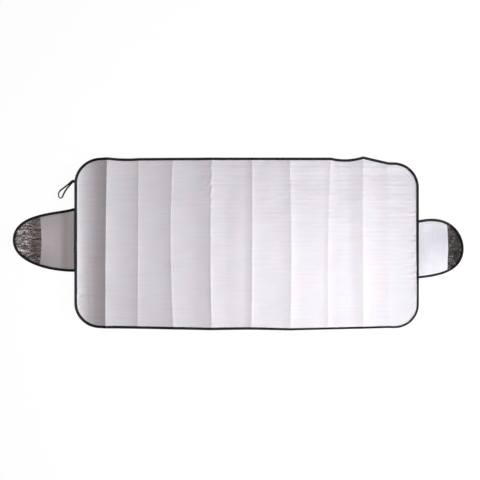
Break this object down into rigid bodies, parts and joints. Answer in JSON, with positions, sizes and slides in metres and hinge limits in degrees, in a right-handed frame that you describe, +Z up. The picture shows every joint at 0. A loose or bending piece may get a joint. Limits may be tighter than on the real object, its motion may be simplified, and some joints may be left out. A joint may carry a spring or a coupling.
{
  "type": "windscreen frost cover",
  "caption": "Rectangular foam-backed windscreen cover with rounded corners, bound edges, roll folds, a pocketed flap at each side and an elastic loop.",
  "frame": {"origin": "middle of the footprint of the sheet and its flaps, without the elastic loop, on the ground that it lies on", "axes": "+X along the width towards the shorter flap, +Y across the sheet towards the edge by the elastic loop, +Z up out of the pale face"},
  "size_m": [1.8316, 0.709, 0.0189],
  "materials": {
    "pale_film": "satin silver-lavender film laminated to thin foam",
    "silver_foil": "crinkled aluminised film laminated to thin foam",
    "black_tape": "plain woven polyester binding tape",
    "elastic": "braided elastic cord"
  },
  "bodies": {
    "root": {"main_sheet": "pale_film", "edge_binding": "black_tape", "left_flap_front": "pale_film", "left_flap_back": "silver_foil", "left_flap_binding": "black_tape", "right_flap_front": "pale_film", "right_flap_back": "silver_foil", "right_flap_binding": "black_tape", "elastic_loop": "elastic"}
  },
  "joints": []
}
